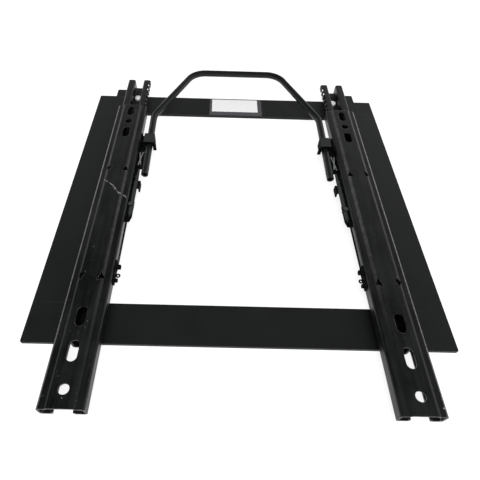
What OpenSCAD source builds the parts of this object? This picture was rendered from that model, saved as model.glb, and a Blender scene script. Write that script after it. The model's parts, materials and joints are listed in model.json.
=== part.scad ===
// Seat slide rail: a flat welded base frame, two interlocking sliding rails and a towel-bar release handle.
// Units are millimetres, +Z is up and +Y is towards the front of the seat.
// A rail is drawn at its own centre line, with +X towards the middle of the frame, and mirrored for the other side.

/* [Base frame] */
// how far the frame reaches outside each rail's centre line
frame_side = 66.5; // [55:0.5:80]
// length over both crossbars
frame_l = 460; // [380:1:560]
// width of each crossbar
bar_w = 49; // [40:1:70]
// width of each side plate
side_w = 80; // [70:1:110]
// thickness of the crossbars and side plates
plate_t = 4; // [3:0.5:6]
// radius of the frame's outer corners
corner_r = 1.5; // [1:0.5:10]
// how far each front foot stands out past the front crossbar
foot_l = 20; // [10:1:30]
// width of each front foot outside the rail centre line
foot_out = 39.5; // [25:0.5:50]
// width of each front foot inside the rail centre line
foot_in = 12; // [10:1:20]

/* [Lower rail] */
// distance between the two rail centre lines
rail_spacing = 333; // [300:1:360]
// thickness of the rail sheet
sheet_t = 2; // [1.5:0.1:2.2]
// inside radius of the rail bends
bend_r = 1; // [0.6:0.1:1.4]
// how far the lower rail stands out in front of the frame
lower_front = 23; // [20:1:40]
// how far the lower rail stands out behind the frame
lower_rear = 5; // [0:1:15]
// clear width inside the lower rail's channel
channel_w = 13.8; // [13:0.2:14.6]
// height of the lower rail
lower_h = 17.2; // [16.5:0.1:19]
// distance between lock notches
notch_pitch = 12; // [11:0.5:14]
// length of one lock notch along the rail
notch_w = 7; // [6:0.25:8]
// depth of a lock notch from the flange edge
notch_d = 3; // [3:0.25:4]
// notches behind the middle tooth
notches_back = 4; // [3:1:5]
// notches ahead of the middle tooth
notches_ahead = 20; // [17:1:20]

/* [Upper rail] */
// length of the upper rail
upper_len = 474; // [440:1:500]
// how far the upper rail stands out behind the frame
upper_rear = 74; // [60:1:85]
// width over the upper rail
upper_w = 45; // [44:0.5:47]
// height of the upper rail's side walls
wall_h = 15; // [14.5:0.25:15.5]
// flat width of the raised top
plateau_w = 21.5; // [20:0.5:24]
// how far the top is raised over the shoulders
plateau_rise = 2; // [1:0.25:3]
// bend radius at the middle of the sheet beside the raised top
jog_r = 3; // [2.5:0.25:4]
// running gap between a lip underneath and the lower rail's wall
lip_free = 0.4; // [0.3:0.05:1]
// height of the turned-up lip edge
lip_h = 5; // [4:0.25:5]
// width of the seat bolt slots and holes
slot_w = 10.5; // [8.5:0.1:12]
// end to end length of the seat bolt slots
slot_l = 22.5; // [16:0.5:24]
// front slot to the front end of the upper rail
front_slot = 17; // [14:0.5:22]
// distance between the front slots and the hole between them
front_pitch = 26.5; // [25:0.5:30]
// rear hole to the rear end of the upper rail
rear_hole = 18; // [12:0.5:24]
// distance between the rear hole and slots
rear_pitch = 38; // [34:0.5:42]
// length of a lanced opening beside the raised top
lance_l = 12; // [8:0.5:14]
// width of a lanced opening
lance_w = 8; // [5:0.5:8]

/* [Glides] */
// thickness of a glide under the upper rail's shoulder
glide_t = 1.5; // [1:0.1:2]
// running gap between a glide and the lower rail
glide_gap = 0.3; // [0.2:0.05:0.5]
// thickness of a glide beside the lower rail
glide_side = 1.3; // [1.1:0.1:1.8]
// length of one glide
glide_l = 60; // [40:1:66]

/* [Lock] */
// thickness of the lock bracket and the lock lever
lock_t = 2; // [1.6:0.1:2.4]
// running gap under the lock lever
lever_gap = 0.2; // [0.1:0.05:0.4]
// middle tooth to the middle of the frame
tooth_y = -1; // [-6:1:6]
// width of a lock tooth
tooth_w = 4.8; // [4:0.1:5.5]
// gap between the tooth tips and the lower rail in the released rest pose
tooth_gap = 0.4; // [0.3:0.05:0.6]
// lever pivot behind the middle tooth
pivot_back = 41; // [39:1:46]
// lever pivot to the upper rail's wall
pivot_off = 3.8; // [3.6:0.1:4.2]
// lever turn from rest to fully locked, in degrees
lock_turn = 3.2; // [2.8:0.1:3.4]
// lever turn from rest to fully released, in degrees
free_turn = 1.6; // [1:0.1:1.8]
// diameter of the lever rivet's shank
rivet_d = 3.6; // [3:0.2:3.8]
// diameter of the handle's pivot pin
pin_d = 5; // [4:0.5:5]
// radial running clearance of a pin
pin_fit = 0.05; // [0.02:0.01:0.08]
// outside diameter of the close-wound return spring
wire_d = 2.6; // [1.6:0.1:2.8]

/* [Handle] */
// outside diameter of the handle tube
tube_d = 10; // [9:0.5:10.5]
// wall of the handle tube
tube_wall = 1.4; // [1:0.1:2]
// handle leg to the rail centre line
leg_off = 36.7; // [36.5:0.1:40]
// rear end of a handle leg ahead of the middle tooth
leg_rear = 18.5; // [16:0.5:20]
// handle pivot ahead of the middle tooth
handle_pivot = 82; // [78:1:88]
// height of the handle pivot over the frame
handle_lift = 16.5; // [16:0.5:18]
// where the legs turn inwards, ahead of the handle pivot
leg_bend = 67; // [60:1:80]
// grip bar ahead of the handle pivot
grip_y = 187.5; // [165:0.5:200]
// corner of the grip bar to the middle of the frame
grip_x = 72; // [55:0.5:85]
// bend radius where the legs turn inwards
bend_low = 30; // [20:1:40]
// bend radius at the grip bar
bend_top = 32; // [20:1:40]
// rise of the handle towards the grip, in degrees
handle_tilt = 2.2; // [1.6:0.2:3]
// gap between the handle tube and its strap
strap_gap = 0.6; // [0.5:0.1:1]
// length of the strap over the handle tube
strap_l = 20; // [16:1:24]

/* [Fasteners] */
// thread size of the rail bolts
bolt_d = 8; // [6:1:8]
// clearance of a rail bolt in its hole, on the radius
bolt_fit = 0.2; // [0.1:0.05:0.4]
// front rail bolt to the front edge of the frame
bolt_front = 10; // [8:1:25]
// rear rail bolt to the rear edge of the frame
bolt_rear = 8; // [7.5:0.5:20]

/* [Hidden] */
$fn = 48;
e = 1;
rail_c = rail_spacing / 2;
frame_w = rail_spacing + 2 * frame_side;
frame_y = frame_l / 2;

// heights of the two rails
base_z = plate_t;
floor_z = base_z + sheet_t;
crest_z = base_z + lower_h;
under_z = crest_z + glide_gap + glide_t;
shoulder_z = under_z + sheet_t;
top_z = shoulder_z + plateau_rise;
lip_z = shoulder_z - wall_h;
bend_o = bend_r + sheet_t;
hook_gap = 1.5;
flange_low = lip_z + sheet_t + hook_gap;

// half widths of the two rails
wall_i = channel_w / 2;
wall_o = wall_i + sheet_t;
upper_o = upper_w / 2;
upper_i = upper_o - sheet_t;
flange_x = upper_i - glide_side - glide_gap;
lip_i = wall_o + lip_free;
plat_x = plateau_w / 2;
jog_turn = acos(1 - plateau_rise / (2 * jog_r));
// the double bend ends on a whole hundredth, so that the shoulder meets it face to face
jog_x = round(100 * (plat_x + 2 * jog_r * sin(jog_turn))) / 100;
jog_m = (plat_x + jog_x) / 2;
jog_steps = 6;

// lengths of the two rails
lower_y0 = -frame_y - lower_rear;
lower_y1 = frame_y + lower_front;
upper_y0 = -frame_y - upper_rear;
upper_y1 = upper_y0 + upper_len;
slot_y1 = upper_y1 - front_slot;
slot_y2 = slot_y1 - front_pitch;
slot_y3 = slot_y2 - front_pitch;
hole_y6 = upper_y0 + rear_hole;
slot_y5 = hole_y6 + rear_pitch;
slot_y4 = slot_y5 + rear_pitch;

// lock bracket and lever
shelf_h = 7.3;
shelf_z = lip_z + shelf_h;
lever_z = shelf_z + lever_gap;
lever_top = lever_z + lock_t;
pivot_x = upper_o + pivot_off;
pivot_y = tooth_y - pivot_back;
tooth_tip = flange_x + tooth_gap;
eye_r = 3.4;
shelf_tail = 27;
lever_tail = 22;
bracket_y0 = pivot_y - shelf_tail;
bracket_y1 = tooth_y + handle_pivot + 23;
shelf_reach = 3.6;
shelf_in = upper_o + shelf_reach;
pin_r = pin_d / 2;
pin_head_r = pin_r + 1;
pin_head_h = 1;
head_h = 1.8;
rivet_r = rivet_d / 2;
rivet_head = rivet_r + 1.4;
lever_lap = 9.5;
lever_front = tooth_y + leg_rear + lever_lap;
lever_back = pivot_y - lever_tail;
lever_in = pivot_x + eye_r;
lever_tip = 0.7;
tab_back = 10;
tab_l = 14;
tab_h = 6;
tab_w = 3.6;
tab_y0 = tooth_y - tab_back;
tab_y1 = tab_y0 + tab_l;
side_free = 0.3;

// the crossed wire spring between the lever and the handle strap
post_r = 0.9;
ring_r = 1.7;
ring_h = 1.6;
cross_r = 0.8;
spring_y0 = lever_front + 6;
spring_l = 32;
spring_y1 = spring_y0 + spring_l;
spring_x0 = upper_o + 2;
spring_x1 = leg_off - tube_d / 2 - ring_r - 0.8;

// return spring and its anchor
wire_r = wire_d / 2;
wire_gap = 0.3;
wire_lap = 18;
anchor_t = 1.5;
wire_x = upper_o + anchor_t + wire_gap + wire_r;
wire_z = lever_top + wire_gap + wire_r;
anchor_back = 91;
anchor_l = 30;
clip_in = 10;
clip_out = 4;
clip_w = 4.5;
clip_h = wire_d + 1.4;
eye_back = 9.5;
eye_ring = 1.9;
eye_wire = 0.9;
eye_stem = 1.3;
nub_in = 4;
nub_l = 3.5;
nub_r = 2.5;
anchor_y1 = pivot_y - anchor_back;
anchor_y0 = anchor_y1 - anchor_l;
clip_y = anchor_y1 - clip_in;
eye_y = clip_y - eye_back;
eye_x = upper_o + anchor_t + eye_stem + eye_ring;

// handle and strap
hand_y = tooth_y + handle_pivot;
hand_z = plate_t + handle_lift;
tube_r = tube_d / 2;
tube_i = tube_r - tube_wall;
leg_x = rail_c - leg_off;
path_rear = leg_rear - handle_pivot;
// the tube swells a little in its bends, and each straight run starts inside them
bend_swell = 0.05;
run_in = 0.6;
turn_low = atan2(leg_x - grip_x, grip_y - leg_bend);
turn_top = 90 - turn_low;
tan_low = bend_low * tan(turn_low / 2);
tan_top = bend_top * tan(turn_top / 2);
diag_len = norm([leg_x - grip_x, grip_y - leg_bend]) - tan_low - tan_top;
strap_t = 1.8;
strap_rise = 2.5;
strap_tab = 4.8;
strap_back = 7;
strap_top = hand_z + tube_r + strap_rise;
cheek_o = leg_off - tube_r - strap_gap - strap_t;
cheek_i = leg_off + tube_r + strap_gap;
strap_y0 = hand_y - strap_back;
strap_y1 = strap_y0 + strap_l;

// glides stay on the lower rail over the whole travel
glide_ahead = 24;
glide_back = 205;
lance_ahead = 20;
lance_back = 158;
glide_y1 = tooth_y + glide_ahead;
glide_y0 = tooth_y - glide_back;
lance_y1 = tooth_y + lance_ahead;
lance_y0 = tooth_y - lance_back;

// rail bolts
bolt_r = bolt_d / 2;
bolt_y1 = frame_y - bolt_front;
bolt_y0 = -frame_y + bolt_rear;
bolt_head_r = min(bolt_r + 1.6, wall_i - bend_r - 0.2);
bolt_head_h = 4.5;
dome_h = 2;
dome_r = (bolt_head_r * bolt_head_r + dome_h * dome_h) / (2 * dome_h);

// the origin is under the middle of the whole outline
grip_reach = hand_y + grip_y * cos(handle_tilt) + tube_r + bend_swell;
origin_y = -(grip_reach + upper_y0) / 2;

// placing

module placed() {
  translate([0, origin_y, 0])
    children();
}

module on_left() {
  placed()
    translate([-rail_c, 0, 0])
      children();
}

module on_right() {
  mirror([1, 0, 0])
    on_left()
      children();
}

// a profile in X and Z drawn along Y
module along_y(y0, y1) {
  translate([0, y1, 0])
    rotate([90, 0, 0])
      linear_extrude(y1 - y0)
        children();
}

module box(x0, x1, y0, y1, z0, z1) {
  translate([x0, y0, z0])
    cube([x1 - x0, y1 - y0, z1 - z0]);
}

module rect(x0, x1, z0, z1) {
  translate([x0, z0])
    square([x1 - x0, z1 - z0]);
}

// a quarter of a sheet bend, starting at the angle a
module bend(x, z, a) {
  translate([x, z])
    rotate(a)
      intersection() {
        difference() {
          circle(bend_o);
          circle(bend_r);
        }
        square(bend_o);
      }
}

module both_sides() {
  children();
  mirror([1, 0, 0])
    children();
}

module slot_2d(w, l) {
  square([w, l - w], center = true);
  translate([0, (l - w) / 2])
    circle(w / 2);
  translate([0, (w - l) / 2])
    circle(w / 2);
}

// base frame

module crossbar_2d() {
  r = corner_r;
  translate([-frame_w / 2 + r, 0])
    square([frame_w - 2 * r, bar_w]);
  translate([-frame_w / 2, 0])
    square([frame_w, bar_w - r]);
  translate([-frame_w / 2 + r, bar_w - r])
    circle(r);
  translate([frame_w / 2 - r, bar_w - r])
    circle(r);
}

module bolt_holes(y, fit) {
  both_sides()
    translate([-rail_c, y, -e])
      cylinder(h = plate_t + 2 * e, r = bolt_r + fit);
}

module front_crossbar() {
  color([0.05, 0.05, 0.05])
    placed()
      difference() {
        translate([0, frame_y - bar_w, 0])
          linear_extrude(plate_t)
            crossbar_2d();
        bolt_holes(bolt_y1, bolt_fit);
      }
}

module rear_crossbar() {
  color([0.05, 0.05, 0.05])
    placed()
      difference() {
        mirror([0, 1, 0])
          translate([0, frame_y - bar_w, 0])
            linear_extrude(plate_t)
              crossbar_2d();
        bolt_holes(bolt_y0, bolt_fit);
      }
}

module side_plate() {
  x0 = -frame_w / 2;
  y = frame_y - bar_w;
  placed()
    box(x0, x0 + side_w, -y, y, 0, plate_t);
}

module side_plate_left() {
  color([0.05, 0.05, 0.05])
    side_plate();
}

module side_plate_right() {
  color([0.05, 0.05, 0.05])
    mirror([1, 0, 0])
      side_plate();
}

module front_foot() {
  r = min(corner_r, foot_l / 3);
  linear_extrude(plate_t)
    difference() {
      translate([-foot_out, frame_y])
        square([foot_out + foot_in, foot_l]);
      difference() {
        translate([-foot_out, frame_y + foot_l - r])
          square(r);
        translate([-foot_out + r, frame_y + foot_l - r])
          circle(r);
      }
    }
}

module front_foot_left() {
  color([0.05, 0.05, 0.05])
    on_left()
      front_foot();
}

module front_foot_right() {
  color([0.05, 0.05, 0.05])
    on_right()
      front_foot();
}

// lower rail: a channel whose flanges turn out and down

module lower_half() {
  rect(0, wall_o - bend_o, base_z, floor_z);
  bend(wall_o - bend_o, base_z + bend_o, 270);
  rect(wall_i, wall_o, base_z + bend_o, crest_z - bend_o);
  bend(wall_i + bend_o, crest_z - bend_o, 90);
  rect(wall_i + bend_o, flange_x - bend_o, crest_z - sheet_t, crest_z);
  bend(flange_x - bend_o, crest_z - bend_o, 0);
  rect(flange_x - sheet_t, flange_x, flange_low, crest_z - bend_o);
}

module lower_rail() {
  difference() {
    along_y(lower_y0, lower_y1)
      both_sides()
        lower_half();
    for (i = [-notches_back : notches_ahead])
      translate([0, tooth_y + i * notch_pitch, 0])
        box(flange_x - notch_d, flange_x + e, -notch_w / 2, notch_w / 2, flange_low - e, crest_z + e);
    for (y = [bolt_y0, bolt_y1])
      translate([0, y, base_z - e])
        cylinder(h = sheet_t + 2 * e, r = bolt_r + bolt_fit);
  }
}

module lower_rail_left() {
  color([0.07, 0.07, 0.07])
    on_left()
      lower_rail();
}

module lower_rail_right() {
  color([0.07, 0.07, 0.07])
    on_right()
      lower_rail();
}

module rail_bolt() {
  cylinder(h = floor_z, r = bolt_r);
  translate([0, 0, floor_z])
    cylinder(h = bolt_head_h - dome_h, r = bolt_head_r);
  translate([0, 0, floor_z + bolt_head_h - dome_h])
    intersection() {
      translate([0, 0, dome_h - dome_r])
        sphere(dome_r, $fn = 64);
      cylinder(h = dome_h, r = bolt_head_r);
    }
}

module rail_bolts() {
  color([0.75, 0.75, 0.77])
    placed()
      both_sides()
        for (y = [bolt_y0, bolt_y1])
          translate([-rail_c, y, 0])
            rail_bolt();
}

// upper rail: a raised top, shoulders, side walls and lips that turn in and up

// one face of the double bend beside the raised top, a distance d over the middle of the sheet
function jog_line(d) = [
  for (i = [0 : 2 * jog_steps])
    let (a = jog_turn * min(i, 2 * jog_steps - i) / jog_steps)
      i <= jog_steps
        ? [plat_x, top_z - sheet_t / 2 - jog_r] + (jog_r + d) * [sin(a), cos(a)]
        : [jog_x, under_z + sheet_t / 2 + jog_r] - (jog_r - d) * [sin(a), cos(a)]
];

module jog_2d() {
  over = jog_line(sheet_t / 2);
  under = jog_line(-sheet_t / 2);
  last = 2 * jog_steps;
  polygon(concat(under, [for (i = [0 : last]) over[last - i]]));
}

module upper_half() {
  rect(0, plat_x, top_z - sheet_t, top_z);
  jog_2d();
  rect(jog_x, upper_o - bend_o, under_z, shoulder_z);
  bend(upper_o - bend_o, shoulder_z - bend_o, 0);
  rect(upper_i, upper_o, lip_z + bend_o, shoulder_z - bend_o);
  bend(upper_o - bend_o, lip_z + bend_o, 270);
  rect(lip_i + bend_o, upper_o - bend_o, lip_z, lip_z + sheet_t);
  bend(lip_i + bend_o, lip_z + bend_o, 180);
  rect(lip_i, lip_i + sheet_t, lip_z + bend_o, lip_z + lip_h);
}

module seat_slot(y) {
  translate([0, y, top_z - sheet_t - e])
    linear_extrude(sheet_t + 2 * e)
      slot_2d(slot_w, slot_l);
}

module seat_hole(y) {
  translate([0, y, top_z - sheet_t - e])
    cylinder(h = sheet_t + 2 * e, r = slot_w / 2);
}

// the two openings of a pair are alike and turned half round
module lance(y) {
  for (a = [0, 180])
    translate([0, y, under_z - e])
      rotate([0, 0, a])
        linear_extrude(top_z - under_z + 2 * e)
          translate([jog_m, 0])
            polygon([
              [-lance_w * 3 / 4, -lance_l / 2],
              [lance_w / 4, -lance_l / 5],
              [-lance_w / 4, lance_l / 2]
            ]);
}

module tooth_windows() {
  w = tooth_w + 2.8;
  for (i = [-1 : 1])
    translate([0, tooth_y + i * notch_pitch, 0])
      box(upper_i - e / 2, upper_o + e, -w / 2, w / 2, lever_z - 0.5, lever_top + 0.5);
}

module upper_rail() {
  difference() {
    along_y(upper_y0, upper_y1)
      both_sides()
        upper_half();
    for (y = [slot_y1, slot_y3, slot_y4, slot_y5])
      seat_slot(y);
    for (y = [slot_y2, hole_y6])
      seat_hole(y);
    for (y = [lance_y0, lance_y1])
      lance(y);
    tooth_windows();
  }
}

module upper_rail_left() {
  color([0.06, 0.06, 0.06])
    on_left()
      upper_rail();
}

module upper_rail_right() {
  color([0.06, 0.06, 0.06])
    on_right()
      upper_rail();
}

// glides in the upper rail's corners

module glide_2d() {
  rect(jog_x + 0.5, upper_i - bend_r, crest_z + glide_gap, under_z);
  rect(flange_x + glide_gap, upper_i, flange_low + 0.5, under_z - bend_r);
  translate([upper_i - bend_r, under_z - bend_r])
    circle(bend_r);
}

module glides() {
  for (y = [glide_y0, glide_y1])
    along_y(y, y + glide_l)
      both_sides()
        glide_2d();
}

module glides_left() {
  color([0.85, 0.84, 0.8])
    on_left()
      glides();
}

module glides_right() {
  color([0.85, 0.84, 0.8])
    on_right()
      glides();
}

// lock bracket on the upper rail's inner wall

module lock_bracket() {
  y0 = bracket_y0;
  y1 = bracket_y1;
  difference() {
    union() {
      translate([0, 0, shelf_z - lock_t])
        linear_extrude(lock_t)
          polygon([
            [upper_o, y0],
            [pivot_x + 1, y0],
            [pivot_x + eye_r, y0 + 8],
            [pivot_x + eye_r, pivot_y + 8],
            [shelf_in, pivot_y + 12],
            [shelf_in, lever_front + 2],
            [cheek_o + strap_t, lever_front + 4],
            [cheek_o + strap_t, strap_y0 - 1],
            [cheek_o, strap_y0 - 1],
            [cheek_o, y1],
            [upper_o, y1]
          ]);
      box(upper_o, upper_o + lock_t, strap_y0 - 3, y1, shelf_z - lock_t, shoulder_z - bend_o);
      box(upper_o, upper_o + anchor_t, y0, lever_back - 1, shelf_z - lock_t, shoulder_z - bend_o);
    }
    translate([pivot_x, pivot_y, shelf_z - lock_t - e])
      cylinder(h = lock_t + 2 * e, r = rivet_r + pin_fit);
  }
}

module lock_bracket_left() {
  color([0.06, 0.06, 0.06])
    on_left()
      lock_bracket();
}

module lock_bracket_right() {
  color([0.06, 0.06, 0.06])
    on_right()
      lock_bracket();
}

// strap that carries the handle's pivot pin

module handle_strap() {
  difference() {
    union() {
      box(cheek_o, cheek_o + strap_t, strap_y0, strap_y1, hand_z - tube_r - 1, strap_top);
      box(cheek_o, cheek_i + strap_t, strap_y0, strap_y1, strap_top, strap_top + strap_t);
      box(cheek_i, cheek_i + strap_t, strap_y0, strap_y1, hand_z - tube_r - 1, strap_top);
      box(cheek_i, cheek_i + strap_tab, strap_y0, strap_y0 + strap_t, hand_z - tube_r - 1, strap_top);
    }
    translate([cheek_o - e, hand_y, hand_z])
      rotate([0, 90, 0])
        cylinder(h = cheek_i - cheek_o + strap_t + 2 * e, r = pin_r + pin_fit);
  }
}

module handle_strap_left() {
  color([0.06, 0.06, 0.06])
    on_left()
      handle_strap();
}

module handle_strap_right() {
  color([0.06, 0.06, 0.06])
    on_right()
      handle_strap();
}

module pivot_pin() {
  translate([cheek_o, hand_y, hand_z])
    rotate([0, 90, 0])
      cylinder(h = cheek_i + strap_t - cheek_o, r = pin_r);
  translate([cheek_i + strap_t, hand_y, hand_z])
    rotate([0, 90, 0])
      cylinder(h = pin_head_h, r = pin_head_r);
}

module pivot_pin_left() {
  color([0.1, 0.1, 0.1])
    on_left()
      pivot_pin();
}

module pivot_pin_right() {
  color([0.1, 0.1, 0.1])
    on_right()
      pivot_pin();
}

// lock lever: a flat strip with three teeth that turns about an upright rivet

module lever_2d() {
  lock_t3 = tan(lock_turn);
  free_t3 = tan(free_turn);
  near = upper_o + side_free;
  ahead = lever_front - pivot_y;
  behind = pivot_y - lever_back;
  difference() {
    union() {
      polygon([
        [near + 0.3, pivot_y],
        [near + 0.3 + behind * free_t3, lever_back],
        [pivot_x + 1, lever_back],
        [lever_in, lever_back + 7],
        [lever_in, tab_y0],
        [lever_in + tab_w, tab_y0],
        [lever_in + tab_w, tab_y1],
        [lever_in, tab_y1],
        [lever_in - lever_tip, lever_front],
        [near + 0.3 + ahead * lock_t3, lever_front]
      ]);
      for (i = [-1 : 1])
        translate([tooth_tip, tooth_y + i * notch_pitch - tooth_w / 2])
          square([pivot_x - tooth_tip, tooth_w]);
    }
    translate([pivot_x, pivot_y])
      circle(rivet_r + pin_fit);
  }
}

module lock_lever() {
  translate([0, 0, lever_z])
    linear_extrude(lock_t)
      lever_2d();
  box(lever_in + tab_w - lock_t, lever_in + tab_w, tab_y0, tab_y1, lever_z - tab_h, lever_z);
}

module lock_lever_left() {
  color([0.08, 0.08, 0.08])
    on_left()
      lock_lever();
}

module lock_lever_right() {
  color([0.08, 0.08, 0.08])
    on_right()
      lock_lever();
}

module lever_rivet() {
  z0 = shelf_z - lock_t;
  z1 = lever_top + lever_gap;
  translate([pivot_x, pivot_y, 0]) {
    translate([0, 0, z0 - head_h])
      cylinder(h = head_h, r = rivet_head);
    translate([0, 0, z0])
      cylinder(h = z1 - z0, r = rivet_r);
    translate([0, 0, z1])
      cylinder(h = head_h, r = rivet_head);
  }
}

module lever_rivet_left() {
  color([0.1, 0.1, 0.1])
    on_left()
      lever_rivet();
}

module lever_rivet_right() {
  color([0.1, 0.1, 0.1])
    on_right()
      lever_rivet();
}

// crossed wire spring held by four posts

module at_posts() {
  for (x = [spring_x0, spring_x1])
    for (y = [spring_y0, spring_y1])
      translate([x, y, shelf_z])
        children();
}

module spring_posts() {
  at_posts() {
    cylinder(h = ring_h + 0.1, r = post_r);
    translate([0, 0, ring_h + 0.1])
      cylinder(h = 1.6, r = ring_r);
  }
}

module spring_posts_left() {
  color([0.1, 0.1, 0.1])
    on_left()
      spring_posts();
}

module spring_posts_right() {
  color([0.1, 0.1, 0.1])
    on_right()
      spring_posts();
}

module cross_wire(xa, xb) {
  d = [xb - xa, spring_y1 - spring_y0];
  translate([xa, spring_y0, shelf_z + ring_h / 2])
    rotate([0, 0, -atan2(d[0], d[1])])
      rotate([-90, 0, 0])
        cylinder(h = norm(d), r = cross_r);
}

module cross_spring() {
  difference() {
    union() {
      cross_wire(spring_x0, spring_x1);
      cross_wire(spring_x1, spring_x0);
      at_posts()
        cylinder(h = ring_h, r = ring_r);
    }
    at_posts()
      translate([0, 0, -e])
        cylinder(h = ring_h + 2 * e, r = post_r + 0.1);
  }
}

module cross_spring_left() {
  color([0.75, 0.75, 0.77])
    on_left()
      cross_spring();
}

module cross_spring_right() {
  color([0.75, 0.75, 0.77])
    on_right()
      cross_spring();
}

// return spring over the lever's tail, held by an anchor on the upper rail's wall

module wire_anchor() {
  zc = (lip_z + bend_o + shoulder_z - bend_o) / 2;
  difference() {
    union() {
      box(upper_o, upper_o + anchor_t, anchor_y0, anchor_y1, lip_z + bend_o, shoulder_z - bend_o);
      translate([upper_o + anchor_t, clip_y - clip_w / 2, wire_z - clip_h / 2])
        cube([wire_x + clip_out - upper_o - anchor_t, clip_w, clip_h]);
    }
    translate([wire_x, clip_y - clip_w / 2 - e, wire_z])
      rotate([-90, 0, 0])
        cylinder(h = clip_w + 2 * e, r = wire_r + pin_fit);
  }
  translate([upper_o + anchor_t, anchor_y0 + nub_in, zc])
    rotate([0, 90, 0])
      cylinder(h = nub_l, r = nub_r);
  translate([upper_o + anchor_t / 2, eye_y, zc])
    rotate([0, 90, 0])
      cylinder(h = eye_stem + anchor_t / 2, r = eye_wire);
  translate([eye_x, eye_y, zc])
    rotate_extrude()
      translate([eye_ring, 0])
        circle(eye_wire);
}

module wire_anchor_left() {
  color([0.07, 0.07, 0.07])
    on_left()
      wire_anchor();
}

module wire_anchor_right() {
  color([0.07, 0.07, 0.07])
    on_right()
      wire_anchor();
}

module return_wire() {
  y0 = clip_y - clip_w / 2 - wire_d;
  translate([wire_x, y0, wire_z])
    rotate([-90, 0, 0])
      cylinder(h = pivot_y - wire_lap - y0, r = wire_r);
}

module return_wire_left() {
  color([0.1, 0.1, 0.1])
    on_left()
      return_wire();
}

module return_wire_right() {
  color([0.1, 0.1, 0.1])
    on_right()
      return_wire();
}

// towel-bar handle: one bent tube over both rails

module tube_2d(swell) {
  difference() {
    circle(tube_r + swell);
    circle(tube_i - swell);
  }
}

module tube_run(l) {
  rotate([-90, 0, 0])
    linear_extrude(l)
      tube_2d(0);
}

module tube_bend(r, a) {
  rotate_extrude(angle = a)
    translate([r, 0])
      tube_2d(bend_swell);
}

module handle_leg() {
  leg_end = leg_bend - tan_low;
  translate([leg_x, path_rear, 0])
    tube_run(leg_end - path_rear + run_in);
  translate([leg_x - bend_low, leg_end, 0])
    tube_bend(bend_low, turn_low);
  translate([leg_x - sin(turn_low) * tan_low, leg_bend + cos(turn_low) * tan_low, 0])
    rotate([0, 0, turn_low])
      translate([0, -run_in, 0])
        tube_run(diag_len + 2 * run_in);
  translate([grip_x - tan_top, grip_y - bend_top, 0])
    rotate([0, 0, turn_low])
      tube_bend(bend_top, turn_top);
}

module towel_bar() {
  color([0.05, 0.05, 0.05])
    placed()
      translate([0, hand_y, hand_z])
        rotate([handle_tilt, 0, 0])
          difference() {
            union() {
              both_sides()
                handle_leg();
              translate([grip_x - tan_top + run_in, grip_y, 0])
                rotate([0, 0, 90])
                  tube_run(2 * (grip_x - tan_top + run_in));
            }
            both_sides()
              translate([leg_x - tube_d, 0, 0])
                rotate([0, 90, 0])
                  cylinder(h = 2 * tube_d, r = pin_r + pin_fit);
            both_sides()
              translate([leg_x - tube_d, path_rear + 10, 0])
                rotate([0, 90, 0])
                  cylinder(h = 2 * tube_d, r = 1.5);
          }
}

front_crossbar();
rear_crossbar();
side_plate_left();
side_plate_right();
front_foot_left();
front_foot_right();
lower_rail_left();
lower_rail_right();
rail_bolts();
upper_rail_left();
upper_rail_right();
glides_left();
glides_right();
lock_bracket_left();
lock_bracket_right();
handle_strap_left();
handle_strap_right();
pivot_pin_left();
pivot_pin_right();
lever_rivet_left();
lever_rivet_right();
spring_posts_left();
spring_posts_right();
cross_spring_left();
cross_spring_right();
wire_anchor_left();
wire_anchor_right();
return_wire_left();
return_wire_right();
lock_lever_left();
lock_lever_right();
towel_bar();
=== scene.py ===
import json
import math

import bpy
from mathutils import Matrix, Vector


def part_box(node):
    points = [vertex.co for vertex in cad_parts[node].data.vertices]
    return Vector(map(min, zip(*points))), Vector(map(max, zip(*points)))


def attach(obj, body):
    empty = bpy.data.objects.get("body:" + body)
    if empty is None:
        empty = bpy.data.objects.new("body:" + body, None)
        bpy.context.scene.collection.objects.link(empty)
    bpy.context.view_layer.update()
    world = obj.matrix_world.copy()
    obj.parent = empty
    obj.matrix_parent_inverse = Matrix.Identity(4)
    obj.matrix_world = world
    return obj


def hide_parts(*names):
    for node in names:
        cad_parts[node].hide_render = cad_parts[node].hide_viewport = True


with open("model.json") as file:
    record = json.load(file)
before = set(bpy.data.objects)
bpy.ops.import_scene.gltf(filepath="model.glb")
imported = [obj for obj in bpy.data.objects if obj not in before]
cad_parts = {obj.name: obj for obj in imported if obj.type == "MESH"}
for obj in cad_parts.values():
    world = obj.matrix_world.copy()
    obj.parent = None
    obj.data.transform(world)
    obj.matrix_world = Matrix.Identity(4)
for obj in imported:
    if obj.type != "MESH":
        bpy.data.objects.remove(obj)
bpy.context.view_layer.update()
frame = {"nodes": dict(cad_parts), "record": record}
nodes = frame["nodes"]

# sizes are in millimetres here and become metres where they are used
MM = 0.001
# a thin black coat reflects a little less than clear lacquer, a textured one less, and dull steel least
COAT_IOR = 1.4
POWDER_IOR = 1.32
DULL_IOR = 1.04
# the two colour sockets and the result of a Mix node that mixes colours
MIX_A, MIX_B, MIX_OUT = 6, 7, 2
# patches in which a coat wears off an edge, and the slow clouds in its tone
WORN_PATCH = 9
CLOUD = 45
# streaks along the rails: how wide, and how little Y counts in them, which draws them out in length
STREAK = 5
STREAK_DRAWN = 0.05
# a scratch: its width, how far its line wanders, how ragged its sides are, and how much of the width of
# a scratch or chip is quite bare
SCRATCH_W = 1.3
WANDER = 3
RAGGED = 1.6
BARE_SHARE = 0.45
# how far up the faces of a bend look, from its steepest to its flattest
STEEP, FLAT = 0.36, 0.98
# the places in Y between which the rubbed coat and painted highlight on the bends grow, from the rear to
# the front
RUB_HIGHLIGHT_REAR_Y = -220
RUB_HIGHLIGHT_FRONT_Y = -40


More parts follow.
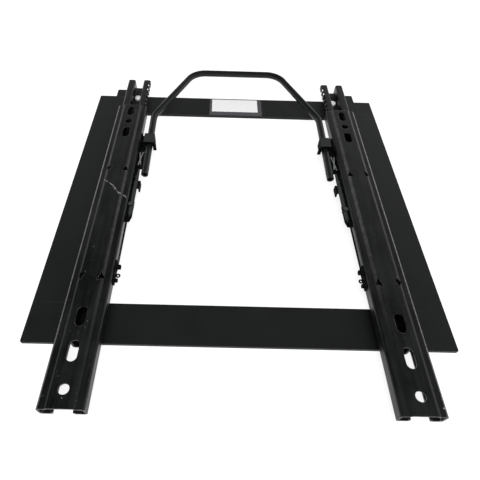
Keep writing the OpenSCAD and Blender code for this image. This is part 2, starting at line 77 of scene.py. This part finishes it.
def linear(colour):
    """An sRGB hex colour as linear red, green, blue and alpha."""
    parts = [int(colour[i:i + 2], 16) / 255 for i in (1, 3, 5)]
    return [c / 12.92 if c <= 0.04045 else ((c + 0.055) / 1.055) ** 2.4 for c in parts] + [1.0]


def per_mm(size):
    """The texture scale whose features are about this many millimetres wide."""
    return 1 / (size * MM)


def add(tree, kind, settings=None, values=None, links=None):
    """A node with its settings, socket values and incoming links."""
    node = tree.nodes.new(kind)
    for name, value in (settings or {}).items():
        setattr(node, name, value)
    for socket, value in (values or {}).items():
        node.inputs[socket].default_value = value
    for socket, source in (links or {}).items():
        tree.links.new(source, node.inputs[socket])
    return node


def start(name):
    """A new material: itself, its node tree, its shader and the place on the piece."""
    material = bpy.data.materials.new(name)
    material.use_nodes = True
    tree = material.node_tree
    place = add(tree, "ShaderNodeTexCoord").outputs["Object"]
    return material, tree, tree.nodes["Principled BSDF"], place


def facing_up(tree):
    """How far a face looks up: 1 for a level face and 0 for an upright one."""
    normal = add(tree, "ShaderNodeNewGeometry").outputs["Normal"]
    return add(tree, "ShaderNodeSeparateXYZ", None, None, {"Vector": normal}).outputs["Z"]


def in_band(tree, place, near, far):
    """1 where a point lies between two distances in X from the middle of the part, and 0 elsewhere."""
    across = add(tree, "ShaderNodeSeparateXYZ", None, None, {"Vector": place})
    from_middle = add(tree, "ShaderNodeMath", {"operation": "ABSOLUTE"}, None, {0: across.outputs["X"]})
    inside = add(tree, "ShaderNodeMath", {"operation": "COMPARE"},
                 {1: (near + far) / 2 * MM, 2: (far - near) / 2 * MM}, {0: from_middle.outputs["Value"]})
    return inside.outputs["Value"]


def strongest(tree, masks):
    """The highest of several masks at each point."""
    highest = masks[0]
    for mask in masks[1:]:
        highest = add(tree, "ShaderNodeMath", {"operation": "MAXIMUM"}, None,
                      {0: highest, 1: mask}).outputs["Value"]
    return highest


def cloudy_tone(tree, place, streaks):
    """The tone of a coat, about 0 to 1: slow clouds, and streaks along the rails where it has them."""
    clouds = add(tree, "ShaderNodeTexNoise", None,
                 {"Scale": per_mm(CLOUD), "Detail": 6.0, "Roughness": 0.6}, {"Vector": place})
    if not streaks:
        return clouds.outputs["Fac"]
    drawn = add(tree, "ShaderNodeVectorMath", {"operation": "MULTIPLY"},
                {1: (1, STREAK_DRAWN, 1)}, {0: place})
    lines = add(tree, "ShaderNodeTexNoise", None,
                {"Scale": per_mm(STREAK), "Detail": 4.0, "Roughness": 0.65},
                {"Vector": drawn.outputs["Vector"]})
    both = add(tree, "ShaderNodeMath", {"operation": "ADD"}, None,
               {0: clouds.outputs["Fac"], 1: lines.outputs["Fac"]})
    tone = add(tree, "ShaderNodeMapRange", None,
               {"From Min": 0.8, "From Max": 1.2}, {"Value": both.outputs["Value"]})
    return tone.outputs["Result"]


def painted_top_light(tree, place, band):
    """Painted top light: how much paler a face that looks up is drawn, with a band only inside it."""
    up = add(tree, "ShaderNodeMapRange", None,
             {"From Min": 0.5, "From Max": 0.95}, {"Value": facing_up(tree)})
    if not band:
        return up.outputs["Result"]
    inside = add(tree, "ShaderNodeMath", {"operation": "MULTIPLY"}, None,
                 {0: up.outputs["Result"], 1: in_band(tree, place, *band)})
    return inside.outputs["Value"]


def worn_edges(tree, place, radius):
    """A normal rounded over each edge, and how far the coat is rubbed off the edge, in patches."""
    rounded = add(tree, "ShaderNodeBevel", {"samples": 6}, {"Radius": radius * MM}).outputs["Normal"]
    flat = add(tree, "ShaderNodeNewGeometry").outputs["Normal"]
    agree = add(tree, "ShaderNodeVectorMath", {"operation": "DOT_PRODUCT"}, None, {0: rounded, 1: flat})
    edge = add(tree, "ShaderNodeMapRange", None,
               {"From Min": 0.99, "From Max": 0.8}, {"Value": agree.outputs["Value"]})
    patches = add(tree, "ShaderNodeTexNoise", None,
                  {"Scale": per_mm(WORN_PATCH), "Detail": 5.0, "Roughness": 0.65}, {"Vector": place})
    kept = add(tree, "ShaderNodeMapRange", None,
               {"From Min": 0.46, "From Max": 0.62}, {"Value": patches.outputs["Fac"]})
    rubbed = add(tree, "ShaderNodeMath", {"operation": "MULTIPLY"}, None,
                 {0: edge.outputs["Result"], 1: kept.outputs["Result"]})
    return rounded, rubbed.outputs["Value"]


def ragged_plan(tree, place):
    """The place seen from above, shaken to and fro so that a straight line on it wanders."""
    back = -(WANDER + RAGGED) / 2 * MM
    wander = add(tree, "ShaderNodeTexNoise", None,
                 {"Scale": per_mm(5), "Detail": 3.0}, {"Vector": place})
    shake = add(tree, "ShaderNodeVectorMath", {"operation": "MULTIPLY_ADD"},
                {1: (WANDER * MM, WANDER * MM, 0), 2: (back, back, 0)}, {0: wander.outputs["Color"]})
    ragged = add(tree, "ShaderNodeTexNoise", None,
                 {"Scale": per_mm(1.5), "Detail": 2.0}, {"Vector": place})
    jitter = add(tree, "ShaderNodeVectorMath", {"operation": "MULTIPLY_ADD"},
                 {1: (RAGGED * MM, RAGGED * MM, 0)},
                 {0: ragged.outputs["Color"], 2: shake.outputs["Vector"]})
    plan = add(tree, "ShaderNodeVectorMath", {"operation": "MULTIPLY_ADD"},
               {1: (1, 1, 0)}, {0: place, 2: jitter.outputs["Vector"]})
    return plan.outputs["Vector"]


def run_distance(tree, plan, begin, end):
    """How far each point is from a straight run between two places in X and Y."""
    run = Vector((end[0] - begin[0], end[1] - begin[1], 0)) * MM
    from_begin = add(tree, "ShaderNodeVectorMath", {"operation": "SUBTRACT"},
                     {1: (begin[0] * MM, begin[1] * MM, 0)}, {0: plan}).outputs["Vector"]
    along = add(tree, "ShaderNodeVectorMath", {"operation": "DOT_PRODUCT"},
                {1: run / run.length_squared}, {0: from_begin})
    share = add(tree, "ShaderNodeClamp", None, None, {"Value": along.outputs["Value"]})
    foot = add(tree, "ShaderNodeVectorMath", {"operation": "SCALE"},
               {0: run}, {"Scale": share.outputs["Result"]})
    gap = add(tree, "ShaderNodeVectorMath", {"operation": "DISTANCE"}, None,
              {0: from_begin, 1: foot.outputs["Vector"]})
    return gap.outputs["Value"]


def scratch_marks(tree, place, scratches, chips):
    """How far each point is inside a scratch or a chip seen from above, from 0 to 1."""
    plan = ragged_plan(tree, place)
    gaps = []
    for scratch in scratches:
        for begin, end in zip(scratch, scratch[1:]):
            gaps.append((run_distance(tree, plan, begin, end), SCRATCH_W / 2))
    for x, y, radius in chips:
        gap = add(tree, "ShaderNodeVectorMath", {"operation": "DISTANCE"},
                  {1: (x * MM, y * MM, 0)}, {0: plan})
        gaps.append((gap.outputs["Value"], radius))
    masks = []
    for gap, radius in gaps:
        mask = add(tree, "ShaderNodeMapRange", None,
                   {"From Min": radius * MM, "From Max": radius * MM * BARE_SHARE}, {"Value": gap})
        masks.append(mask.outputs["Result"])
    crumbs = add(tree, "ShaderNodeTexNoise", None,
                 {"Scale": per_mm(3.5), "Detail": 3.0, "Roughness": 0.7}, {"Vector": place})
    broken = add(tree, "ShaderNodeMapRange", None,
                 {"From Min": 0.45, "From Max": 0.56}, {"Value": crumbs.outputs["Fac"]})
    marks = add(tree, "ShaderNodeMath", {"operation": "MULTIPLY"}, None,
                {0: strongest(tree, masks), 1: broken.outputs["Result"]})
    return marks.outputs["Value"]


def dust_specks(tree, place, size):
    """Small pale spots of dust and thin coat."""
    grains = add(tree, "ShaderNodeTexNoise", None,
                 {"Scale": per_mm(size), "Detail": 2.0, "Roughness": 0.7}, {"Vector": place})
    spots = add(tree, "ShaderNodeMapRange", None,
                {"From Min": 0.68, "From Max": 0.78, "To Max": 0.3}, {"Value": grains.outputs["Fac"]})
    return spots.outputs["Result"]


def rubbed_and_highlit_bends(tree, place, bands):
    """How far the sheet's bends are drawn pale, partly as rubbed coat and partly as painted highlight.

    A band lies between two distances from the middle, and its share grows from the rear of the rail
    to the front."""
    bent = add(tree, "ShaderNodeMath", {"operation": "COMPARE"},
               {1: (STEEP + FLAT) / 2, 2: (FLAT - STEEP) / 2}, {0: facing_up(tree)})
    patches = add(tree, "ShaderNodeTexNoise", None, {"Scale": per_mm(4), "Detail": 3.0}, {"Vector": place})
    kept = add(tree, "ShaderNodeMapRange", None,
               {"From Min": 0.4, "From Max": 0.6, "To Min": 0.5}, {"Value": patches.outputs["Fac"]})
    worn_and_highlit = add(tree, "ShaderNodeMath", {"operation": "MULTIPLY"}, None,
               {0: bent.outputs["Value"], 1: kept.outputs["Result"]})
    along = add(tree, "ShaderNodeSeparateXYZ", None, None, {"Vector": place})
    rubs_and_highlights = []
    for near, far, rear_share, front_share in bands:
        share = add(tree, "ShaderNodeMapRange", None,
                    {"From Min": RUB_HIGHLIGHT_REAR_Y * MM, "From Max": RUB_HIGHLIGHT_FRONT_Y * MM,
                     "To Min": rear_share, "To Max": front_share}, {"Value": along.outputs["Y"]})
        amount = add(tree, "ShaderNodeMath", {"operation": "MULTIPLY"}, None,
                     {0: in_band(tree, place, near, far), 1: share.outputs["Result"]})
        rub_and_highlight = add(tree, "ShaderNodeMath", {"operation": "MULTIPLY"}, None,
                  {0: amount.outputs["Value"], 1: worn_and_highlit.outputs["Value"]})
        rubs_and_highlights.append(rub_and_highlight.outputs["Value"])
    return strongest(tree, rubs_and_highlights)


def black_coat(name, deep, pale, bare, grain, depth, roughness, radius, ior=COAT_IOR, streaks=False,
               top=None, top_band=None, scratches=(), chips=(), specks=None, rubs_and_highlights=(), soften=None):
    """A black coat over steel: cloudy colour, a fine skin, soft edges and bare metal where it is rubbed.

    With a top colour, the faces that look up are drawn paler as painted top light, and with a band only
    those between its two distances from the middle. Where bend bands are given, the bare colour marks those
    bends partly as rubbed coat and partly as painted highlight. Bends are softened over their own radius."""
    material, tree, shader, place = start(name)
    tone = cloudy_tone(tree, place, streaks)
    colour = add(tree, "ShaderNodeMix", {"data_type": "RGBA"},
                 {MIX_A: linear(deep), MIX_B: linear(pale)}, {0: tone}).outputs[MIX_OUT]
    # painted top light: faces that look up are mixed towards the top colour, as if lit from above
    if top:
        colour = add(tree, "ShaderNodeMix", {"data_type": "RGBA"}, {MIX_B: linear(top)},
                     {0: painted_top_light(tree, place, top_band), MIX_A: colour}).outputs[MIX_OUT]
    rounded, rubbed = worn_edges(tree, place, radius)
    if soften:
        rounded = add(tree, "ShaderNodeBevel", {"samples": 8}, {"Radius": soften * MM}).outputs["Normal"]
    wear_and_highlights = [rubbed]
    if scratches or chips:
        wear_and_highlights.append(scratch_marks(tree, place, scratches, chips))
    if specks:
        wear_and_highlights.append(dust_specks(tree, place, specks))
    # the bend bands mix in the bare colour partly as rubbed coat and partly as painted highlight
    if rubs_and_highlights:
        wear_and_highlights.append(rubbed_and_highlit_bends(tree, place, rubs_and_highlights))
    colour = add(tree, "ShaderNodeMix", {"data_type": "RGBA"}, {MIX_B: linear(bare)},
                 {0: strongest(tree, wear_and_highlights), MIX_A: colour}).outputs[MIX_OUT]
    skin = add(tree, "ShaderNodeTexNoise", None,
               {"Scale": per_mm(grain), "Detail": 2.0}, {"Vector": place})
    bump = add(tree, "ShaderNodeBump", None, {"Strength": 0.6, "Distance": depth * MM},
               {"Height": skin.outputs["Fac"], "Normal": rounded})
    sheen = add(tree, "ShaderNodeMapRange", None,
                {"From Min": 0.3, "From Max": 0.7, "To Min": roughness[0], "To Max": roughness[1]},
                {"Value": tone})
    shader.inputs["IOR"].default_value = ior
    tree.links.new(colour, shader.inputs["Base Color"])
    tree.links.new(sheen.outputs["Result"], shader.inputs["Roughness"])
    tree.links.new(bump.outputs["Normal"], shader.inputs["Normal"])
    return material


def plated_steel(name, dull, bright, roughness, metallic, greased=None):
    """Plated or drawn steel: a cloudy metal with a fine grain, dark with grease behind a place in Y."""
    material, tree, shader, place = start(name)
    clouds = add(tree, "ShaderNodeTexNoise", None,
                 {"Scale": per_mm(3), "Detail": 5.0}, {"Vector": place})
    colour = add(tree, "ShaderNodeMix", {"data_type": "RGBA"},
                 {MIX_A: linear(dull), MIX_B: linear(bright)}, {0: clouds.outputs["Fac"]})
    if greased is not None:
        along = add(tree, "ShaderNodeSeparateXYZ", None, None, {"Vector": place})
        clean = add(tree, "ShaderNodeMapRange", None,
                    {"From Min": greased, "From Max": greased + GREASE_FADE * MM},
                    {"Value": along.outputs["Y"]})
        colour = add(tree, "ShaderNodeMix", {"data_type": "RGBA"}, {MIX_A: linear(GREASE)},
                     {0: clean.outputs["Result"], MIX_B: colour.outputs[MIX_OUT]})
    sheen = add(tree, "ShaderNodeMapRange", None,
                {"From Min": 0.3, "From Max": 0.7, "To Min": roughness[0], "To Max": roughness[1]},
                {"Value": clouds.outputs["Fac"]})
    rounded = add(tree, "ShaderNodeBevel", {"samples": 6}, {"Radius": 0.25 * MM})
    bump = add(tree, "ShaderNodeBump", None, {"Strength": 0.3, "Distance": 0.05 * MM},
               {"Height": clouds.outputs["Fac"], "Normal": rounded.outputs["Normal"]})
    shader.inputs["Metallic"].default_value = metallic
    tree.links.new(colour.outputs[MIX_OUT], shader.inputs["Base Color"])
    tree.links.new(sheen.outputs["Result"], shader.inputs["Roughness"])
    tree.links.new(bump.outputs["Normal"], shader.inputs["Normal"])
    return material


def smooth_sheet(name, deep, pale, patch, roughness, depth):
    """A plastic skin or film: nearly even colour, a slow wave and a little haze."""
    material, tree, shader, place = start(name)
    clouds = add(tree, "ShaderNodeTexNoise", None,
                 {"Scale": per_mm(patch), "Detail": 4.0}, {"Vector": place})
    colour = add(tree, "ShaderNodeMix", {"data_type": "RGBA"},
                 {MIX_A: linear(deep), MIX_B: linear(pale)}, {0: clouds.outputs["Fac"]})
    sheen = add(tree, "ShaderNodeMapRange", None,
                {"To Min": roughness[0], "To Max": roughness[1]}, {"Value": clouds.outputs["Fac"]})
    bump = add(tree, "ShaderNodeBump", None, {"Strength": 0.4, "Distance": depth * MM},
               {"Height": clouds.outputs["Fac"]})
    tree.links.new(colour.outputs[MIX_OUT], shader.inputs["Base Color"])
    tree.links.new(sheen.outputs["Result"], shader.inputs["Roughness"])
    tree.links.new(bump.outputs["Normal"], shader.inputs["Normal"])
    return material


# powder coat: fine textured black, a soft even sheen with no sharp reflections; its 0.3 mm grain is
# drawn at 1.2 mm and its dust at 2 mm so that they show
frame_black = black_coat("black_powder_coat", "#151716", "#1f2120", "#4a4b4a", grain=1.2, depth=0.06,
                         roughness=(0.44, 0.56), radius=0.5, ior=POWDER_IOR, specks=2)

# electrocoat: thin satin black that follows the sheet, streaked along the rail by use, with clear soft
# reflections along each bend; its dust is drawn at 2.5 mm so that it shows
RAIL = {"deep": "#090b0a", "pale": "#1a1c1b", "grain": 2.5, "depth": 0.02, "roughness": (0.34, 0.44),
        "radius": 0.4, "streaks": True}
UPPER_RAIL = {**RAIL, "specks": 2.5, "soften": 1.5}
# wear on the upper rails, in X and Y seen from above: one long scratch, small chips and a scuffed end
left_scratches = [[(-180, 11), (-167, 1), (-157, -12), (-146, -19.5)],
                  [(-166, -3), (-155, -15.5), (-148, -16)]]
left_chips = [(-172, -103, 0.8), (-159, -200, 0.8), (-160, -207, 0.7), (-185, -277, 0.8), (-166, -279, 0.6)]
right_chips = [(177.5, -136, 0.9), (187, -272, 1.4), (186, -281, 1.1), (186, -289, 1.2), (172, -286, 0.7)]
# the upper rails are drawn pale between two distances from the middle, partly as rubbed coat and partly as
# painted highlight, by one share at the rear and another at the front: on their outer edge, and on the bend
# of the raised top that is nearer the middle
OUTER_EDGE = (186, 189.1)
INNER_BEND = (151, 156)
left_rubs_and_highlights = [(*OUTER_EDGE, 0.27, 0.42), (*INNER_BEND, 0, 0.1)]
right_rubs_and_highlights = [(*OUTER_EDGE, 0.5, 0.65), (*INNER_BEND, 0, 0.24)]
rail_black = black_coat("black_electrocoat", bare="#6d6c6a", **RAIL)
# the pale bare colours of these two rails paint the highlights on their bends as well as the rubbed coat
rail_left = black_coat("black_electrocoat_scratched_bend_highlights", bare="#9a9a98", scratches=left_scratches,
                       chips=left_chips, rubs_and_highlights=left_rubs_and_highlights, **UPPER_RAIL)
rail_right = black_coat("black_electrocoat_chipped_bend_highlights", bare="#8b8b8a", chips=right_chips,
                        rubs_and_highlights=right_rubs_and_highlights, **UPPER_RAIL)

# the bent handle has a smoother black coat that shows long soft highlights
handle_black = black_coat("handle_powder_coat", "#0f1111", "#171918", "#4a4a4b", grain=2.0, depth=0.02,
                          roughness=(0.34, 0.42), radius=0.4)

# black oxide: dull and very dark, and on the straps and pins with painted top light that makes their upward
# faces paler
OXIDE = {"deep": "#0a0b0b", "pale": "#121313", "bare": "#4a4a49", "grain": 1.5, "depth": 0.02,
         "roughness": (0.4, 0.5), "radius": 0.3, "ior": DULL_IOR}
oxide_black = black_coat("black_oxide_steel", **OXIDE)
oxide_painted_top_light = black_coat("oxide_steel_painted_top_light", top="#323433", **OXIDE)

# phosphated steel: very dark, with a grey painted top light on the upward faces of the stamped lock levers
# inside the band only, which keeps their tabs and teeth outside the band dark like shaded faces; the heads
# of the rivets get a paler painted top light than the levers
PHOSPHATE = {"deep": "#0c0d0d", "pale": "#141515", "bare": "#303130", "grain": 1.5, "depth": 0.03,
             "roughness": (0.4, 0.52), "radius": 0.3, "ior": DULL_IOR}
LEVER_BAND = (136.8, 141.2)
lever_grey = black_coat("phosphated_steel", top="#383a39", top_band=LEVER_BAND, **PHOSPHATE)
rivet_grey = black_coat("rivet_steel_painted_top_light", top="#404241", **PHOSPHATE)

# bright zinc with a pale bloom over the metal, almost white under soft light
bright_zinc = plated_steel("bright_zinc_plate", "#eeeef0", "#ffffff", (0.35, 0.5), 0.25)

# drawn spring wire: grey metal, duller than the plated bolts, with dark grease on the hooks nearest the
# levers; the grease ends a little in front of the rear posts
GREASE = "#1c1c1b"
GREASE_FADE = 2.5
hooks_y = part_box("spring_posts_left")[0][1] + GREASE_FADE * MM
spring_wire = plated_steel("drawn_spring_wire", "#9c9d9e", "#c6c6c6", (0.35, 0.5), 0.6, hooks_y)

# acetal: milky, slightly waxy moulded plastic
glide_acetal = smooth_sheet("natural_acetal", "#d3d0c6", "#dfdcd2", 6, (0.38, 0.5), 0.05)

# white vinyl with a clear film over it, which greys the black coat around the vinyl
label_white = smooth_sheet("white_vinyl", "#f6f6f7", "#ffffff", 12, (0.3, 0.42), 0.04)
label_film = smooth_sheet("clear_label_film", "#444448", "#545458", 14, (0.2, 0.34), 0.08)

coats = {
    "frame_coat": frame_black,
    "rail_coat": rail_black,
    "handle_coat": handle_black,
    "pin_black": oxide_painted_top_light,
    "zinc": bright_zinc,
    "acetal": glide_acetal,
}
own_coats = {"upper_rail_left": rail_left, "upper_rail_right": rail_right}
for side in ("left", "right"):
    own_coats["cross_spring_" + side] = spring_wire
    own_coats["lock_lever_" + side] = lever_grey
    own_coats["lever_rivet_" + side] = rivet_grey
    own_coats["handle_strap_" + side] = oxide_painted_top_light
    for name in ("spring_posts_", "lock_bracket_", "wire_anchor_"):
        own_coats[name + side] = oxide_black
for part in frame["record"]["subparts"]:
    piece = nodes[part["node"]]
    piece.data.materials.clear()
    piece.data.materials.append(own_coats.get(part["node"], coats[part["material_slot"]]))


def return_spring(side):
    """A wound spring that stands for the plain rod of the return wire."""
    low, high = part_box("return_wire_" + side)
    wire_r, pitch, around = 0.5 * MM, 1.6 * MM, 14
    outer_r = (high[0] - low[0]) / 2
    turns = int((high[1] - low[1] - 2 * wire_r) / pitch)
    bpy.ops.object.select_all(action="DESELECT")
    bpy.ops.mesh.primitive_circle_add(vertices=8, radius=wire_r, location=(0, 0, 0))
    spring = bpy.context.object
    spring.name = "return_spring_" + side
    bpy.ops.object.mode_set(mode="EDIT")
    bpy.ops.transform.translate(value=(outer_r - wire_r, 0, 0))
    bpy.ops.object.mode_set(mode="OBJECT")
    coil = spring.modifiers.new("coil", "SCREW")
    coil.axis = "Y"
    coil.screw_offset = pitch
    coil.iterations = turns
    coil.steps = coil.render_steps = around
    bpy.ops.object.modifier_apply(modifier=coil.name)
    bpy.ops.object.mode_set(mode="EDIT")
    bpy.ops.mesh.select_all(action="SELECT")
    bpy.ops.mesh.fill_holes(sides=0)
    bpy.ops.mesh.normals_make_consistent(inside=False)
    begin_y = low[1] + (high[1] - low[1] - turns * pitch) / 2
    bpy.ops.transform.translate(value=((low[0] + high[0]) / 2, begin_y, (low[2] + high[2]) / 2))
    bpy.ops.object.mode_set(mode="OBJECT")
    bpy.ops.object.shade_smooth_by_angle(angle=math.radians(60))
    spring.data.materials.append(oxide_black)
    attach(spring, "carriage_" + side)
    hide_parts("return_wire_" + side)


for side in ("left", "right"):
    return_spring(side)


def blank_label():
    """A clear film with a plain white field, stuck on the front crossbar."""
    bar_low, bar_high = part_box("front_crossbar")
    film_w, film_edge, film_t = 88 * MM, 1.0 * MM, 0.2 * MM
    # the field's sides, in X from the middle and in Y from the rear side of the bar, and its thickness
    field_x, field_y, field_t = (-40 * MM, 37 * MM), (11 * MM, 46 * MM), 0.1 * MM
    film_l = bar_high[1] - bar_low[1] - 2 * film_edge
    middle = (0, bar_low[1] + film_edge + film_l / 2, bar_high[2] + film_t / 2)
    bpy.ops.object.select_all(action="DESELECT")
    bpy.ops.mesh.primitive_cube_add(size=1, location=(0, 0, 0))
    label = bpy.context.object
    label.name = "blank_label"
    bpy.ops.object.mode_set(mode="EDIT")
    bpy.ops.transform.resize(value=(film_w, film_l, film_t))
    bpy.ops.transform.translate(value=middle)
    # the top face is inset, and the inner face is then sized and moved to the field's place and raised
    bpy.ops.mesh.select_mode(type="FACE")
    bpy.ops.mesh.select_all(action="DESELECT")
    bpy.ops.object.mode_set(mode="OBJECT")
    for face in label.data.polygons:
        face.select = face.normal.z > 0.9
    bpy.ops.object.mode_set(mode="EDIT")
    inset = 2 * MM
    bpy.ops.mesh.inset(thickness=inset)
    field_w, field_l = field_x[1] - field_x[0], field_y[1] - field_y[0]
    bpy.ops.transform.resize(value=(field_w / (film_w - 2 * inset), field_l / (film_l - 2 * inset), 1))
    shift_x = (field_x[0] + field_x[1]) / 2
    shift_y = bar_low[1] + (field_y[0] + field_y[1]) / 2 - middle[1]
    bpy.ops.transform.translate(value=(shift_x, shift_y, 0))
    bpy.ops.mesh.extrude_region_move(TRANSFORM_OT_translate={"value": (0, 0, field_t)})
    bpy.ops.object.mode_set(mode="OBJECT")
    label.data.materials.append(label_film)
    label.data.materials.append(label_white)
    top = max(v.co.z for v in label.data.vertices)
    for face in label.data.polygons:
        face.material_index = 1 if face.center.z > top - field_t / 10 else 0
    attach(label, "base")


blank_label()

# camera at the photograph's viewing angle: its place in metres, and how far it is turned down, rolled
# and swung aside, in radians
CAMERA_PLACE = (-0.0292272, -0.3910634, 0.3996065)
CAMERA_DOWN, CAMERA_ROLL, CAMERA_SWING = 0.9402, -0.0355, 0.0143
# the photograph is square, and its middle lies right of and above the camera's axis by these pixels
PHOTO_PX = 480
RIGHT_PX, ABOVE_PX = 21.9, 20.45
ahead = Vector((math.sin(CAMERA_SWING) * math.cos(CAMERA_DOWN),
                math.cos(CAMERA_SWING) * math.cos(CAMERA_DOWN),
                -math.sin(CAMERA_DOWN)))
across = Vector((math.cos(CAMERA_SWING), -math.sin(CAMERA_SWING), 0))
down = ahead.cross(across)
right = math.cos(CAMERA_ROLL) * across + math.sin(CAMERA_ROLL) * down
below = -math.sin(CAMERA_ROLL) * across + math.cos(CAMERA_ROLL) * down
camera = bpy.data.objects.new("camera", bpy.data.cameras.new("camera"))
bpy.context.scene.collection.objects.link(camera)
turn = Matrix((right, -below, -ahead)).transposed().to_4x4()
camera.matrix_world = Matrix.Translation(CAMERA_PLACE) @ turn
camera.data.sensor_width = 36
camera.data.sensor_fit = "HORIZONTAL"
camera.data.lens = 30
camera.data.shift_x = RIGHT_PX / PHOTO_PX
camera.data.shift_y = ABOVE_PX / PHOTO_PX
bpy.context.scene.camera = camera

# light levels: the sweep's brightness at the floor, how fast it fades with height, its lean to the right
# high up, the power of the key and side lights in watts and the floor sheet's own glow
SWEEP_GLOW = 1.1
SWEEP_FADE = 0.06
SWEEP_SIDE = 1.8
KEY_POWER = 90
LEFT_POWER = 1.5
RIGHT_POWER = 0.9
FLOOR_GLOW = 0.85
# places and sizes of the lights and of the floor, in metres
SIDE_X, SIDE_Y, SIDE_Z = 1.23, 1.37, 0.55
SIDE_W, SIDE_L = 0.7, 0.35
KEY_PLACE, KEY_AIM = (0, -1.2, 2.6), (0, 0.1, 0)
KEY_SIZE = 2.6
FLOOR_SIZE = 8

# studio: a white sweep that is bright near the floor and dark overhead, and high up brighter on the right
world = bpy.data.worlds.new("studio")
world.use_nodes = True
sky = world.node_tree
direction = add(sky, "ShaderNodeTexCoord").outputs["Generated"]
parts = add(sky, "ShaderNodeSeparateXYZ", None, None, {"Vector": direction})
height = add(sky, "ShaderNodeClamp", None, None, {"Value": parts.outputs["Z"]})
fade = add(sky, "ShaderNodeMath", {"operation": "POWER"}, {0: SWEEP_FADE}, {1: height.outputs["Result"]})
aside = add(sky, "ShaderNodeMath", {"operation": "MULTIPLY"}, None,
            {0: parts.outputs["X"], 1: height.outputs["Result"]})
lean = add(sky, "ShaderNodeMath", {"operation": "MULTIPLY_ADD"},
           {1: SWEEP_SIDE, 2: 1.0}, {0: aside.outputs["Value"]})
glow = add(sky, "ShaderNodeMath", {"operation": "MULTIPLY"}, None,
           {0: fade.outputs["Value"], 1: lean.outputs["Value"]})
level = add(sky, "ShaderNodeMath", {"operation": "MULTIPLY"}, {1: SWEEP_GLOW}, {0: glow.outputs["Value"]})
sky.nodes["Background"].inputs["Color"].default_value = linear("#ffffff")
sky.links.new(level.outputs["Value"], sky.nodes["Background"].inputs["Strength"])
bpy.context.scene.world = world
bpy.context.scene.view_settings.view_transform = "Standard"


def softbox(name, place, aim, width, length, power):
    """A soft rectangular light that faces a point."""
    lamp = bpy.data.lights.new(name, "AREA")
    lamp.shape = "RECTANGLE"
    lamp.size = width
    lamp.size_y = length
    lamp.energy = power
    holder = bpy.data.objects.new(name, lamp)
    bpy.context.scene.collection.objects.link(holder)
    holder.location = place
    holder.rotation_euler = (Vector(aim) - Vector(place)).to_track_quat("-Z", "Y").to_euler()
    return holder


# soft boxes ahead on both sides draw the bends of the rails and of the handle
softbox("left_light", (-SIDE_X, SIDE_Y, SIDE_Z), (0, 0, 0), SIDE_W, SIDE_L, LEFT_POWER)
softbox("right_light", (SIDE_X, SIDE_Y, SIDE_Z), (0, 0, 0), SIDE_W, SIDE_L, RIGHT_POWER)
# the key light is crossed out of the reflections, as with polarised filters
key = softbox("key_light", KEY_PLACE, KEY_AIM, KEY_SIZE, KEY_SIZE, KEY_POWER)
key.visible_glossy = False

bpy.ops.object.select_all(action="DESELECT")
bpy.ops.mesh.primitive_plane_add(size=FLOOR_SIZE, location=(0, 0, 0))
floor = bpy.context.object
floor.name = "floor"
# a pale sheet lit from below, so that the shadows stay as faint as in the photograph
sheet, _, sheet_shader, _ = start("lit_floor_sheet")
sheet_shader.inputs["Base Color"].default_value = linear("#959595")
sheet_shader.inputs["Roughness"].default_value = 0.9
sheet_shader.inputs["Emission Color"].default_value = linear("#ffffff")
sheet_shader.inputs["Emission Strength"].default_value = FLOOR_GLOW
floor.data.materials.append(sheet)
